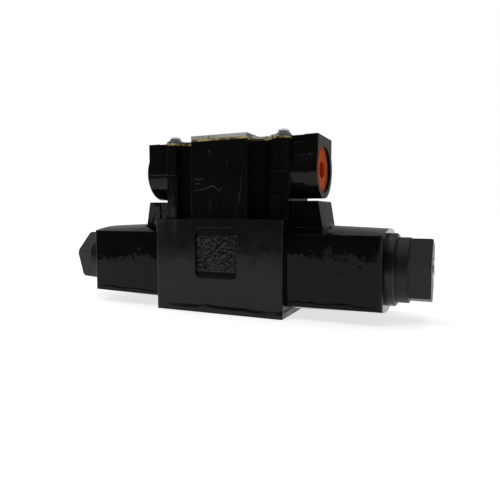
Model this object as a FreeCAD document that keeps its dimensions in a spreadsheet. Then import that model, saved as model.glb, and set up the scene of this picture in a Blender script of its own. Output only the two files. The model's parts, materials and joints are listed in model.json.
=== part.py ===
"""Solenoid directional valve, NG6 size: cast body, sliding spool, two wet-armature solenoids, terminal box.

Millimetres. X runs along the spool, Y across the valve, Z up. The origin is the middle of the mounting face.
Side "b" is the +X solenoid and side "a" the -X one, which is the same set of pieces turned half a turn about Z.
"""

import FreeCAD, Part
import Sketcher
import math
import os

Vector = FreeCAD.Vector
X_AXIS = Vector(1, 0, 0)
Y_AXIS = Vector(0, 1, 0)
Z_AXIS = Vector(0, 0, 1)
SIDES = {"a": 180.0, "b": 0.0}
NOTHING = 1e-6

doc = FreeCAD.newDocument("solenoid_valve")
sheet = doc.addObject("Spreadsheet::Sheet", "dims")
exported = []


class Size:
    """A length that knows its number and the spreadsheet formula that gives it."""

    def __init__(self, number, text):
        self.number = number
        self.text = text

    def __add__(self, other):
        other = as_size(other)
        return Size(self.number + other.number, f"({self.text} + {other.text})")

    def __sub__(self, other):
        other = as_size(other)
        return Size(self.number - other.number, f"({self.text} - {other.text})")

    def __mul__(self, other):
        other = as_size(other)
        return Size(self.number * other.number, f"({self.text} * {other.text})")

    def __truediv__(self, other):
        other = as_size(other)
        return Size(self.number / other.number, f"({self.text} / {other.text})")

    def __neg__(self):
        return Size(-self.number, f"(0 - {self.text})")

    def __radd__(self, other):
        return as_size(other) + self

    def __rsub__(self, other):
        return as_size(other) - self

    def __rmul__(self, other):
        return as_size(other) * self


def as_size(value):
    return value if isinstance(value, Size) else Size(float(value), repr(float(value)))


def cell(alias, value):
    """Adds a driving dimension to the spreadsheet."""
    row = len(sheet.getUsedCells()) // 2 + 1
    sheet.set(f"A{row}", alias)
    sheet.set(f"B{row}", str(value))
    sheet.setAlias(f"B{row}", alias)
    return Size(float(value), f"dims.{alias}")


# ---------------------------------------------------------------- driving dimensions

body_length = cell("body_length", 66)
body_width = cell("body_width", 48)
body_height = cell("body_height", 44)
axis_height = cell("axis_height", 22)
body_corner = cell("body_corner", 1.2)

panel_width = cell("panel_width", 22)
panel_low = cell("panel_low", 16.5)
panel_high = cell("panel_high", 40.2)
panel_depth = cell("panel_depth", 1.3)
panel_corner = cell("panel_corner", 3)

bolt_hole_d = cell("bolt_hole_d", 5.5)
bolt_left = cell("bolt_left", 21.5)
bolt_right = cell("bolt_right", 19)
bolt_left_side = cell("bolt_left_side", 15.5)
bolt_right_side = cell("bolt_right_side", 16.25)

port_d = cell("port_d", 7.5)
port_seal_d = cell("port_seal_d", 12.8)
port_seal_depth = cell("port_seal_depth", 1.4)
port_a_x = cell("port_a_x", 8.8)
port_b_x = cell("port_b_x", 8.7)
port_pt_y = cell("port_pt_y", 10.4)
port_p_depth = cell("port_p_depth", 18)
port_t_depth = cell("port_t_depth", 12.5)
port_ab_depth = cell("port_ab_depth", 14.5)
tank_channel_d = cell("tank_channel_d", 6)
tank_channel_height = cell("tank_channel_height", 11)
tank_riser_top = cell("tank_riser_top", 22)
tank_riser_d = cell("tank_riser_d", 3.4)

bore_d = cell("bore_d", 12.5)
groove_d = cell("groove_d", 18)
groove_width = cell("groove_width", 4)
groove_pitch = cell("groove_pitch", 8.8)
running_gap = cell("running_gap", 0.02)
chamber_start = cell("chamber_start", 23)
thread_d = cell("thread_d", 22)
seal_recess = cell("seal_recess", 2)
seal_recess_d = cell("seal_recess_d", 26)

spool_half = cell("spool_half", 23)
spool_neck_d = cell("spool_neck_d", 7.6)
spool_land_in = cell("spool_land_in", 5)
spool_land_out = cell("spool_land_out", 12.6)
spool_end_land = cell("spool_end_land", 18.9)
spool_stub = cell("spool_stub", 2)
spool_stub_d = cell("spool_stub_d", 6)
seat_thickness = cell("seat_thickness", 1.4)
seat_d = cell("seat_d", 12.2)

spring_floor = cell("spring_floor", 34)
spring_wire = cell("spring_wire", 1.1)
spring_mean_d = cell("spring_mean_d", 9.4)
spring_turns = cell("spring_turns", 4)
spring_pocket_d = cell("spring_pocket_d", 12.8)

pole_start = cell("pole_start", 26.4)
pole_face = cell("pole_face", 50)
pole_hole_d = cell("pole_hole_d", 3.7)
push_pin_d = cell("push_pin_d", 3.6)
tube_d = cell("tube_d", 20)
tube_inner_d = cell("tube_inner_d", 18.1)
ring_start = cell("ring_start", 46)
ring_end = cell("ring_end", 51)
tube_end = cell("tube_end", 85)
armature_start = cell("armature_start", 53.3)
armature_end = cell("armature_end", 74)
armature_d = cell("armature_d", 18)
armature_vent_d = cell("armature_vent_d", 2.4)
armature_vent_pcd = cell("armature_vent_pcd", 11)
armature_chamfer = cell("armature_chamfer", 1)

plug_start = cell("plug_start", 80)
plug_thread_d = cell("plug_thread_d", 16)
plug_thread_end = cell("plug_thread_end", 91.4)
plug_nose_d = cell("plug_nose_d", 11)
plug_nose_end = cell("plug_nose_end", 93.7)
pin_start = cell("pin_start", 81)
pin_shoulder = cell("pin_shoulder", 86)
pin_shoulder_d = cell("pin_shoulder_d", 6.4)
pin_d = cell("pin_d", 4.8)
pin_end = cell("pin_end", 93.3)
pin_gland = cell("pin_gland", 88)
pin_gland_size = cell("pin_gland_size", 1.3)
pin_chamfer = cell("pin_chamfer", 0.5)
guide_gap = cell("guide_gap", 0.05)

coil_outer = cell("coil_outer", 75)
coil_half_width = cell("coil_half_width", 20.2)
coil_top_inner = cell("coil_top_inner", 15.7)
coil_bottom_inner = cell("coil_bottom_inner", 16.3)
coil_bottom_outer = cell("coil_bottom_outer", 15.8)
coil_crown_inner = cell("coil_crown_inner", 20)
coil_crown_outer = cell("coil_crown_outer", 18.2)
coil_corner = cell("coil_corner", 2.8)
coil_seam_corner = cell("coil_seam_corner", 0.8)
coil_wall = cell("coil_wall", 3.2)
coil_cavity_d = cell("coil_cavity_d", 31)
coil_bore_d = cell("coil_bore_d", 20.5)
coil_seal_depth = cell("coil_seal_depth", 1.8)
coil_seal_d = cell("coil_seal_d", 23.6)
block_start = cell("block_start", 33.9)
block_top_x = cell("block_top_x", 45.3)
block_foot_x = cell("block_foot_x", 47.9)
block_top = cell("block_top", 30.5)
block_half_width = cell("block_half_width", 12)
block_corner = cell("block_corner", 0.8)
end_ring_d = cell("end_ring_d", 32.4)
end_ring_end = cell("end_ring_end", 79)
end_ring_spigot = cell("end_ring_spigot", 2.5)
end_ring_chamfer = cell("end_ring_chamfer", 0.8)
bobbin_wall = cell("bobbin_wall", 1)
bobbin_flange = cell("bobbin_flange", 1.4)
winding_d = cell("winding_d", 29.6)

nut_collar_d = cell("nut_collar_d", 28.9)
nut_hex_start = cell("nut_hex_start", 84)
nut_end = cell("nut_end", 93.2)
nut_corner_d = cell("nut_corner_d", 29.6)
nut_turn = cell("nut_turn", 14.2)
nut_cavity_d = cell("nut_cavity_d", 20.4)
nut_chamfer_length = cell("nut_chamfer_length", 0.8)
nut_chamfer_fall = cell("nut_chamfer_fall", 1.4)
nut_nose_gap = cell("nut_nose_gap", 0.2)

box_gasket_thickness = cell("box_gasket_thickness", 0.6)
box_top = cell("box_top", 80.6)
box_half_length = cell("box_half_length", 32.4)
box_half_width = cell("box_half_width", 14.5)
boss_half_length = cell("boss_half_length", 14.5)
boss_half_width = cell("boss_half_width", 20.6)
box_floor = cell("box_floor", 2.6)
cavity_half_length = cell("cavity_half_length", 29.6)
cavity_half_width = cell("cavity_half_width", 8)
cavity_boss_length = cell("cavity_boss_length", 12)
cavity_boss_width = cell("cavity_boss_width", 18.2)
bolt_access_d = cell("bolt_access_d", 10.8)
hub_end = cell("hub_end", 45)
hub_height = cell("hub_height", 67.1)
hub_d = cell("hub_d", 26.8)
hub_bore_d = cell("hub_bore_d", 21.3)
hub_inner_d = cell("hub_inner_d", 17)
hub_thread_depth = cell("hub_thread_depth", 12)
hub_cap_half_width = cell("hub_cap_half_width", 11.9)
hub_cap_top = cell("hub_cap_top", 82.1)
hub_notch_end = cell("hub_notch_end", 38.9)
hub_notch_depth = cell("hub_notch_depth", 1.5)
hub_notch_rise = cell("hub_notch_rise", 1.6)
lid_screw_x = cell("lid_screw_x", 28.9)
lid_screw_y = cell("lid_screw_y", 12)
lid_boss_half = cell("lid_boss_half", 2.8)
lid_boss_face = cell("lid_boss_face", 15.3)
lid_boss_low = cell("lid_boss_low", 65.8)
lid_screw_hole_d = cell("lid_screw_hole_d", 3)
foot_low_x = cell("foot_low_x", 23.3)
foot_high_x = cell("foot_high_x", 29.1)
foot_face = cell("foot_face", 16.6)
foot_top = cell("foot_top", 54.6)
box_screw_x = cell("box_screw_x", 22)
box_screw_y = cell("box_screw_y", 4)
box_screw_d = cell("box_screw_d", 4)
box_screw_depth = cell("box_screw_depth", 7)
box_screw_head_d = cell("box_screw_head_d", 6.8)
box_screw_head_height = cell("box_screw_head_height", 2.6)
earth_head_d = cell("earth_head_d", 6)
earth_head_height = cell("earth_head_height", 2.4)
earth_hole_depth = cell("earth_hole_depth", 2.3)
clearance = cell("clearance", 0.4)
screw_tip_gap = cell("screw_tip_gap", 0.1)

lid_gasket_thickness = cell("lid_gasket_thickness", 0.8)
lid_thickness = cell("lid_thickness", 1.0)
lid_raise = cell("lid_raise", 0.8)
lid_half_length = cell("lid_half_length", 32.2)
lid_clear_d = cell("lid_clear_d", 3.4)
gasket_lip = cell("gasket_lip", 2)
washer_d = cell("washer_d", 7)
washer_thickness = cell("washer_thickness", 0.6)
washer_notch_d = cell("washer_notch_d", 0.9)
washer_hole_d = cell("washer_hole_d", 3.3)
screw_head_d = cell("screw_head_d", 5.6)
screw_head_height = cell("screw_head_height", 2.0)
screw_length = cell("screw_length", 8)
screw_slot = cell("screw_slot", 0.8)
screw_point = cell("screw_point", 0.4)

contact_height = cell("contact_height", 26.4)
contact_spread = cell("contact_spread", 4.5)
contact_width = cell("contact_width", 4)
contact_thickness = cell("contact_thickness", 0.8)
contact_start = cell("contact_start", 27)
contact_end = cell("contact_end", 41)
window_half_width = cell("window_half_width", 8)
window_half_height = cell("window_half_height", 2.6)
connector_seal_wall = cell("connector_seal_wall", 1.6)

terminal_half = cell("terminal_half", 11.2)
terminal_front = cell("terminal_front", 15.6)
terminal_back = cell("terminal_back", 5)
terminal_top = cell("terminal_top", 62)
terminal_base_thickness = cell("terminal_base_thickness", 3)
terminal_pitch = cell("terminal_pitch", 5.4)
terminal_slot = cell("terminal_slot", 3.8)
terminal_slot_depth = cell("terminal_slot_depth", 3)
terminal_screw_d = cell("terminal_screw_d", 3)
terminal_head_d = cell("terminal_head_d", 3.6)
terminal_head_height = cell("terminal_head_height", 1.6)
terminal_screw_length = cell("terminal_screw_length", 5)
terminal_hole_depth = cell("terminal_hole_depth", 9)
post_d = cell("post_d", 4)
post_inset = cell("post_inset", 2)
post_side = cell("post_side", 6)
board_height = cell("board_height", 70)
board_thickness = cell("board_thickness", 1.6)
board_low = cell("board_low", 3)
board_high = cell("board_high", 17)
lamp_d = cell("lamp_d", 3)
lamp_height = cell("lamp_height", 4)
lamp_spread = cell("lamp_spread", 6)
lamp_side = cell("lamp_side", 11)
lamp_rim = cell("lamp_rim", 0.4)
lamp_rim_height = cell("lamp_rim_height", 0.8)

conduit_plug_face = cell("conduit_plug_face", 43.6)
conduit_plug_d = cell("conduit_plug_d", 21.1)
conduit_plug_length = cell("conduit_plug_length", 8)
conduit_socket = cell("conduit_socket", 8)
conduit_socket_depth = cell("conduit_socket_depth", 4)

static_gap = cell("static_gap", 0.03)
ring_gap = cell("ring_gap", 0.1)
past = cell("past", 1)
doc.recompute()

half_length = body_length / 2
box_low = body_height + box_gasket_thickness
seat_end = spool_half + seat_thickness
spring_room = spring_floor - seat_end

WASHER_TEETH = 12
TERMINAL_COUNT = 4
# a pan head's outline, as shares of its height and radius
HEAD_SIDE, HEAD_SHOULDER, SHOULDER_SIZE, CROWN_SIZE, RECESS_SIZE = 0.45, 0.85, 0.75, 0.4, 0.62


# ---------------------------------------------------------------- helpers for sketches and features

def new_body(label):
    body = doc.addObject("PartDesign::Body", label)
    body.Label = label
    return body


def origin_plane(body, role):
    return next(f for f in body.Origin.OriginFeatures if f.Role == role)


def new_sketch(body, role, offset=0):
    """A sketch on one of the body's own origin planes, moved along the plane's normal by offset."""
    sketch = body.newObject("Sketcher::SketchObject", f"{body.Name}_sketch")
    sketch.AttachmentSupport = [(origin_plane(body, role), "")]
    sketch.MapMode = "FlatFace"
    offset = as_size(offset)
    sketch.AttachmentOffset = FreeCAD.Placement(Vector(0, 0, offset.number), FreeCAD.Rotation())
    sketch.setExpression("AttachmentOffset.Base.z", offset.text)
    return sketch


def constrain(sketch, kind, args, size):
    """Adds one dimension to a sketch and binds it to the spreadsheet."""
    index = sketch.addConstraint(Sketcher.Constraint(kind, *args, size.number))
    sketch.setExpression(f"Constraints[{index}]", size.text)


def fix_point(sketch, geometry, which, corner):
    for kind, on_axis, size in (("DistanceX", -2, corner[0]), ("DistanceY", -1, corner[1])):
        size = as_size(size)
        if abs(size.number) < NOTHING:
            sketch.addConstraint(Sketcher.Constraint("PointOnObject", geometry, which, on_axis))
        else:
            constrain(sketch, kind, (-1, 1, geometry, which), size)


def flat_point(corner):
    return Vector(as_size(corner[0]).number, as_size(corner[1]).number, 0)


def arc_between(start, end, radius):
    """The short arc from start to end whose bulge is on the right of that line for a positive radius."""
    chord = end - start
    middle = (start + end) * 0.5
    normal = Vector(chord.y, -chord.x, 0).normalize()
    size = abs(radius)
    rise = size - math.sqrt(size ** 2 - (chord.Length / 2) ** 2)
    return Part.Arc(start, middle + normal * math.copysign(rise, radius), end)


def outline(sketch, corners):
    """A closed outline. A corner is (x, y), or (x, y, radius) where an arc leads to it."""
    count = len(corners)
    lines = []
    for index, corner in enumerate(corners):
        start = flat_point(corners[index - 1])
        end = flat_point(corner)
        if len(corner) == 3:
            curve = arc_between(start, end, corner[2].number)
            lines.append(sketch.addGeometry(curve))
        else:
            lines.append(sketch.addGeometry(Part.LineSegment(start, end)))
    for index in range(count):
        after = (index + 1) % count
        first = near_end(sketch, lines[index], flat_point(corners[index]))
        second = near_end(sketch, lines[after], flat_point(corners[index]))
        sketch.addConstraint(Sketcher.Constraint("Coincident", lines[index], first, lines[after], second))
        fix_point(sketch, lines[index], first, corners[index])
    for index, corner in enumerate(corners):
        if len(corner) == 3:
            radius = corner[2] if corner[2].number > 0 else -corner[2]
            constrain(sketch, "Radius", (lines[index],), radius)


def near_end(sketch, geometry, point):
    """Which end of a sketch edge, 1 or 2, lies at a point."""
    return min((1, 2), key=lambda end: sketch.getPoint(geometry, end).distanceToPoint(point))


def circle(sketch, x, y, diameter):
    centre = flat_point((x, y))
    diameter = as_size(diameter)
    index = sketch.addGeometry(Part.Circle(centre, Z_AXIS, diameter.number / 2))
    constrain(sketch, "Diameter", (index,), diameter)
    fix_point(sketch, index, 3, (x, y))


def rectangle(sketch, low_x, low_y, high_x, high_y):
    outline(sketch, [(low_x, low_y), (high_x, low_y), (high_x, high_y), (low_x, high_y)])


def pad(body, sketch, length, reverse=False, both_ways=False):
    feature = body.newObject("PartDesign::Pad", f"{body.Name}_pad")
    feature.Profile = sketch
    length = as_size(length)
    feature.Length = length.number
    feature.setExpression("Length", length.text)
    feature.Reversed = reverse
    feature.Midplane = both_ways
    return feature


def volume(body):
    """The body's volume, once it is known to be sound."""
    doc.recompute()
    if not body.Shape.isValid():
        raise RuntimeError(f"{body.Label}: the shape is not valid")
    return body.Shape.Volume


def pocket(body, sketch, length, reverse=False, both_ways=False):
    """Cuts a sketch into the body, and stops the build if nothing was cut."""
    before = volume(body)
    feature = body.newObject("PartDesign::Pocket", f"{body.Name}_pocket")
    feature.Profile = sketch
    length = as_size(length)
    feature.Length = length.number
    feature.setExpression("Length", length.text)
    feature.Reversed = reverse
    feature.Midplane = both_ways
    if volume(body) > before - NOTHING:
        raise RuntimeError(f"{body.Label}: a pocket cut nothing")
    return feature


def revolve(body, corners, along="X"):
    """Turns a closed outline of (axial, radial) corners about X, or about Z."""
    sketch = new_sketch(body, "XZ_Plane")
    outline(sketch, corners if along == "X" else [(c[1], c[0], *c[2:]) for c in corners])
    feature = body.newObject("PartDesign::Revolution", f"{body.Name}_turn")
    feature.Profile = sketch
    feature.ReferenceAxis = (sketch, ["H_Axis" if along == "X" else "V_Axis"])
    feature.Angle = 360
    return feature


def groove(body, corners):
    """Cuts a closed outline of (axial, radial) corners, turned about X."""
    before = volume(body)
    sketch = new_sketch(body, "XZ_Plane")
    outline(sketch, corners)
    feature = body.newObject("PartDesign::Groove", f"{body.Name}_groove")
    feature.Profile = sketch
    feature.ReferenceAxis = (sketch, ["H_Axis"])
    feature.Angle = 360
    if volume(body) > before - NOTHING:
        raise RuntimeError(f"{body.Label}: a groove cut nothing")
    return feature


def turned(label, corners, along="X"):
    body = new_body(label)
    revolve(body, corners, along)
    return body


def dress(body, kind, wanted, size):
    """Rounds or chamfers the edges of the body that a test picks."""
    doc.recompute()
    base = body.Tip
    names = [f"Edge{i}" for i, edge in enumerate(base.Shape.Edges, 1) if wanted(edge)]
    if not names:
        raise RuntimeError(f"{body.Label}: no edge to dress")
    feature = body.newObject(f"PartDesign::{kind}", f"{body.Name}_{kind.lower()}")
    feature.Base = (base, names)
    name = "Radius" if kind == "Fillet" else "Size"
    size = as_size(size)
    setattr(feature, name, size.number)
    feature.setExpression(name, size.text)
    return feature


def polar(body, feature, axis_role, count):
    pattern = body.newObject("PartDesign::PolarPattern", f"{body.Name}_pattern")
    pattern.Originals = [feature]
    pattern.Axis = (next(f for f in body.Origin.OriginFeatures if f.Role == axis_role), [""])
    pattern.Angle = 360
    pattern.Occurrences = count
    body.Tip = pattern
    return pattern


def is_along(edge, axis):
    if len(edge.Vertexes) != 2 or not isinstance(edge.Curve, Part.Line):
        return False
    way = edge.Vertexes[1].Point - edge.Vertexes[0].Point
    return way.normalize().cross(axis).Length < 0.2


def keep(feature):
    """Marks an object as a sub-part that is exported under its label."""
    exported.append(feature)
    return feature


def on_axis(feature, side, turn=0):
    """Places a piece on the spool axis, on side a or b, turned about the axis."""
    turn = as_size(turn)
    half_turn = FreeCAD.Rotation(Z_AXIS, SIDES[side])
    own_turn = FreeCAD.Rotation(X_AXIS, turn.number)
    feature.Placement = FreeCAD.Placement(Vector(0, 0, axis_height.number), half_turn.multiply(own_turn))
    feature.setExpression("Placement.Base.z", axis_height.text)
    return keep(feature)


def at_height(feature, height, side):
    """Places a piece at a height in the valve's own frame, on side a or b."""
    feature.Placement = FreeCAD.Placement(Vector(0, 0, height.number), FreeCAD.Rotation(Z_AXIS, SIDES[side]))
    feature.setExpression("Placement.Base.z", height.text)
    return feature


def group(label, members):
    """Several separate solids that share one node."""
    compound = doc.addObject("Part::Compound", label)
    compound.Label = label
    compound.Links = members
    return keep(compound)


def sleeve(label, start, end, inner_d, outer_d):
    inner = as_size(inner_d) / 2
    outer = as_size(outer_d) / 2
    return turned(label, [(start, inner), (end, inner), (end, outer), (start, outer)])


def seal_ring(label, inner_d, outer_d, middle):
    """An O-ring about X between two diameters, just clear of both."""
    ring = doc.addObject("Part::Torus", label)
    ring.Label = label
    thick = (outer_d - inner_d) / 4 - ring_gap / 2
    ring.setExpression("Radius1", ((inner_d + outer_d) / 4).text)
    ring.setExpression("Radius2", thick.text)
    ring.Placement = FreeCAD.Placement(Vector(middle.number, 0, 0), FreeCAD.Rotation(Y_AXIS, 90))
    return ring


def mirrored(corners):
    """A half outline from -X to the middle, completed by its mirror image."""
    return [(-x, r) for x, r in reversed(corners)] + corners


# ---------------------------------------------------------------- valve body

BOLT_PLACES = [
    (-bolt_left, -bolt_left_side),
    (bolt_right, -bolt_right_side),
    (bolt_right, bolt_right_side),
    (-bolt_left, bolt_left_side),
]
PORT_PLACES = [
    (as_size(0), port_pt_y, port_p_depth),
    (as_size(0), -port_pt_y, port_t_depth),
    (-port_a_x, as_size(0), port_ab_depth),
    (port_b_x, as_size(0), port_ab_depth),
]


def rounded_rectangle(sketch, low_x, low_y, high_x, high_y, corner):
    outline(sketch, [
        (low_x + corner, low_y, corner), (high_x - corner, low_y), (high_x, low_y + corner, corner),
        (high_x, high_y - corner), (high_x - corner, high_y, corner),
        (low_x + corner, high_y), (low_x, high_y - corner, corner), (low_x, low_y + corner),
    ])


def make_valve_body():
    body = new_body("valve_body")
    block = new_sketch(body, "XY_Plane")
    rectangle(block, -half_length, -body_width / 2, half_length, body_width / 2)
    pad(body, block, body_height)
    dress(body, "Fillet", lambda edge: is_along(edge, Z_AXIS), body_corner)

    panel = new_sketch(body, "XZ_Plane", body_width / 2 - panel_depth)
    rounded_rectangle(panel, -panel_width / 2, panel_low, panel_width / 2, panel_high, panel_corner)
    pocket(body, panel, panel_depth + past, reverse=True)

    for x, y in BOLT_PLACES:
        hole = new_sketch(body, "XY_Plane")
        circle(hole, x, y, bolt_hole_d)
        pocket(body, hole, body_height + past, reverse=True)
    for x, y, depth in PORT_PLACES:
        for diameter, reach in ((port_d, depth), (port_seal_d, port_seal_depth)):
            hole = new_sketch(body, "XY_Plane")
            circle(hole, x, y, diameter)
            pocket(body, hole, reach, reverse=True)

    bore = new_sketch(body, "YZ_Plane")
    circle(bore, 0, axis_height, bore_d)
    pocket(body, bore, body_length + past * 2, both_ways=True)
    return body


def hollow_valve_body(body):
    """The grooves round the spool bore, the solenoid threads and the tank channel."""
    for index in range(-2, 3):
        middle = groove_pitch * index
        ring_cut(body, middle - groove_width / 2, groove_width, groove_d)
    for sign in (-1, 1):
        start = chamber_start if sign > 0 else -half_length - past
        ring_cut(body, start, half_length + past - chamber_start, thread_d)
        start = half_length - seal_recess if sign > 0 else -half_length - past
        ring_cut(body, start, seal_recess + past, seal_recess_d)
    channel = new_sketch(body, "YZ_Plane")
    circle(channel, -port_pt_y, tank_channel_height, tank_channel_d)
    pocket(body, channel, groove_pitch * 4 + tank_channel_d, both_ways=True)
    for sign in (-1, 1):
        riser = new_sketch(body, "XY_Plane", tank_channel_height)
        circle(riser, groove_pitch * (2 * sign), -port_pt_y, tank_riser_d)
        pocket(body, riser, tank_riser_top - tank_channel_height, reverse=True)
    for sign in (-1, 1):
        hole = new_sketch(body, "XY_Plane", body_height)
        circle(hole, box_screw_x * sign, box_screw_y * sign, box_screw_d)
        pocket(body, hole, box_screw_depth)
    return body


def ring_cut(body, start, length, diameter):
    """A round pocket about the spool axis, from start along X."""
    sketch = new_sketch(body, "YZ_Plane", start)
    circle(sketch, 0, axis_height, diameter)
    pocket(body, sketch, length, reverse=True)


def make_port_seals():
    """Four O-rings, pressed flush into the mounting face."""
    rings = []
    for name, (x, y, _) in zip("PTAB", PORT_PLACES):
        ring = doc.addObject("Part::Torus", f"port_seal_{name}")
        thick = port_seal_depth / 2 - running_gap
        ring.setExpression("Radius2", thick.text)
        ring.setExpression("Radius1", (port_seal_d / 2 - thick - running_gap).text)
        ring.setExpression("Placement.Base.x", x.text)
        ring.setExpression("Placement.Base.y", y.text)
        ring.setExpression("Placement.Base.z", (port_seal_depth - thick).text)
        rings.append(ring)
    return group("port_seals", rings)


# ---------------------------------------------------------------- spool and what moves with it

def make_spool():
    land = bore_d / 2 - running_gap
    neck = spool_neck_d / 2
    stub = spool_stub_d / 2
    half = [
        (spool_land_in, neck), (spool_land_in, land), (spool_land_out, land), (spool_land_out, neck),
        (spool_end_land, neck), (spool_end_land, land), (spool_half, land), (spool_half, stub),
        (spool_half + spool_stub, stub), (spool_half + spool_stub, 0),
    ]
    spool = turned("spool", mirrored(half))
    return on_axis(spool, "b")


def make_spring(label, side):
    """A round-wire helix between the spring seat and the floor of the pole piece, wound towards -X."""
    lift = spring_room - spring_wire
    start = -seat_end - spring_wire / 2 if side == "a" else spring_floor - spring_wire / 2
    helix = doc.addObject("Part::Helix", f"{label}_helix")
    helix.setExpression("Height", lift.text)
    helix.setExpression("Pitch", (lift / spring_turns).text)
    helix.setExpression("Radius", (spring_mean_d / 2).text)
    turn = FreeCAD.Rotation(Z_AXIS, 180).multiply(FreeCAD.Rotation(Y_AXIS, 90))
    helix.Placement = FreeCAD.Placement(Vector(start.number, 0, axis_height.number), turn)
    wire = doc.addObject("Part::Circle", f"{label}_wire")
    wire.setExpression("Radius", (spring_wire / 2).text)
    start_of_wire = FreeCAD.Placement(Vector(spring_mean_d.number / 2, 0, 0), FreeCAD.Rotation(X_AXIS, 90))
    wire.Placement = helix.Placement.multiply(start_of_wire)
    spring = doc.addObject("Part::Sweep", label)
    spring.Label = label
    spring.Sections = [wire]
    spring.Spine = (helix, ["Edge1"])
    spring.Solid = True
    spring.Frenet = True
    doc.recompute()
    return keep(spring)


def make_armature(label):
    body = turned(label, [
        (armature_start, 0), (armature_end, 0),
        (armature_end, armature_d / 2 - armature_chamfer), (armature_end - armature_chamfer, armature_d / 2),
        (armature_start + armature_chamfer / 2, armature_d / 2),
        (armature_start, armature_d / 2 - armature_chamfer / 2),
    ])
    vent = new_sketch(body, "YZ_Plane", armature_start - past)
    circle(vent, armature_vent_pcd / 2, 0, armature_vent_d)
    hole = pocket(body, vent, armature_end - armature_start + past * 2, reverse=True)
    polar(body, hole, "X_Axis", 2)
    return body


def make_pole_piece(label):
    """Threaded nose, spring pocket, push pin hole and a reduced end that takes the tube ring."""
    thread = thread_d / 2 - static_gap
    pocket_radius = spring_pocket_d / 2
    return turned(label, [
        (pole_start, pocket_radius), (spring_floor, pocket_radius), (spring_floor, pole_hole_d / 2),
        (pole_face, pole_hole_d / 2), (pole_face, tube_inner_d / 2 - static_gap),
        (ring_start, tube_inner_d / 2 - static_gap), (ring_start, tube_d / 2), (half_length, tube_d / 2),
        (half_length, thread), (pole_start, thread),
    ])


def make_tube_plug(label):
    """Closes the tube's outer end, carries the lock nut's thread and guides the override pin."""
    bore = pin_d / 2 + guide_gap
    gland = pin_d / 2 + pin_gland_size
    gland_end = pin_gland + pin_gland_size
    chamber = pin_shoulder_d / 2 + guide_gap
    return turned(label, [
        (plug_start, chamber), (pin_shoulder, chamber), (pin_shoulder, bore), (pin_gland, bore),
        (pin_gland, gland), (gland_end, gland), (gland_end, bore), (plug_nose_end, bore),
        (plug_nose_end, plug_nose_d / 2), (plug_thread_end, plug_nose_d / 2),
        (plug_thread_end, plug_thread_d / 2), (tube_end, plug_thread_d / 2),
        (tube_end, tube_inner_d / 2 - static_gap), (plug_start, tube_inner_d / 2 - static_gap),
    ])


def make_override_pin(label):
    return turned(label, [
        (pin_start, 0), (pin_end, 0), (pin_end, pin_d / 2 - pin_chamfer), (pin_end - pin_chamfer, pin_d / 2),
        (pin_shoulder, pin_d / 2), (pin_shoulder, pin_shoulder_d / 2), (pin_start, pin_shoulder_d / 2),
    ])


# ---------------------------------------------------------------- coil and lock nut

def coil_section(body, offset, crown, bottom):
    """A rectangle whose top and bottom are crowned arcs."""
    sketch = new_sketch(body, "YZ_Plane", offset)
    rise_top = crown - coil_top_inner
    rise_bottom = crown - bottom
    top_radius = (coil_half_width * coil_half_width + rise_top * rise_top) / (rise_top * 2)
    low_radius = (coil_half_width * coil_half_width + rise_bottom * rise_bottom) / (rise_bottom * 2)
    outline(sketch, [
        (-coil_half_width, -bottom), (coil_half_width, -bottom, low_radius),
        (coil_half_width, coil_top_inner), (-coil_half_width, coil_top_inner, top_radius),
    ])
    return sketch


def make_coil_housing(label):
    """The crowned coil case with its connector block, its winding cavity and two blade slots."""
    body = new_body(label)
    block = new_sketch(body, "XZ_Plane", -block_half_width)
    outline(block, [
        (block_start, 0), (block_foot_x, 0), (block_foot_x, coil_top_inner),
        (block_top_x, block_top), (block_start, block_top),
    ])
    pad(body, block, block_half_width * 2)
    dress(body, "Fillet", lambda edge: edge.BoundBox.XMin > block_start.number + past.number, block_corner)

    inner = coil_section(body, half_length, coil_crown_inner, coil_bottom_inner)
    outer = coil_section(body, coil_outer, coil_crown_outer, coil_bottom_outer)
    loft = body.newObject("PartDesign::AdditiveLoft", f"{body.Name}_loft")
    loft.Profile = inner
    loft.Sections = [outer]
    loft.Ruled = True
    near_outer_end = coil_outer.number - past.number
    for side_of_y, corner in ((-1, coil_corner), (1, coil_seam_corner)):
        dress(body, "Fillet", lambda edge: (is_along(edge, Z_AXIS) and edge.BoundBox.XMin > near_outer_end
                                            and edge.BoundBox.YMin * side_of_y > 0), corner)

    cavity = coil_cavity_d / 2
    bore = coil_bore_d / 2
    groove(body, [
        (half_length - past, 0), (coil_outer + past, 0), (coil_outer + past, cavity),
        (half_length + coil_wall, cavity), (half_length + coil_wall, bore),
        (half_length + coil_seal_depth, bore), (half_length + coil_seal_depth, coil_seal_d / 2),
        (half_length - past, coil_seal_d / 2),
    ])
    for sign in (-1, 1):
        slot = new_sketch(body, "YZ_Plane", block_start - past)
        middle = contact_spread * sign
        rectangle(slot, middle - contact_width / 2, contact_height - contact_thickness / 2,
                  middle + contact_width / 2, contact_height + contact_thickness / 2)
        pocket(body, slot, contact_end - block_start + past, reverse=True)
    return body


def make_bobbin(label):
    start = half_length + coil_wall
    end = coil_outer - end_ring_spigot
    bore = coil_bore_d / 2
    barrel = bore + bobbin_wall
    flange = coil_cavity_d / 2 - static_gap
    return turned(label, [
        (start, bore), (end, bore), (end, flange), (end - bobbin_flange, flange), (end - bobbin_flange, barrel),
        (start + bobbin_flange, barrel), (start + bobbin_flange, flange), (start, flange),
    ])


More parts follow.
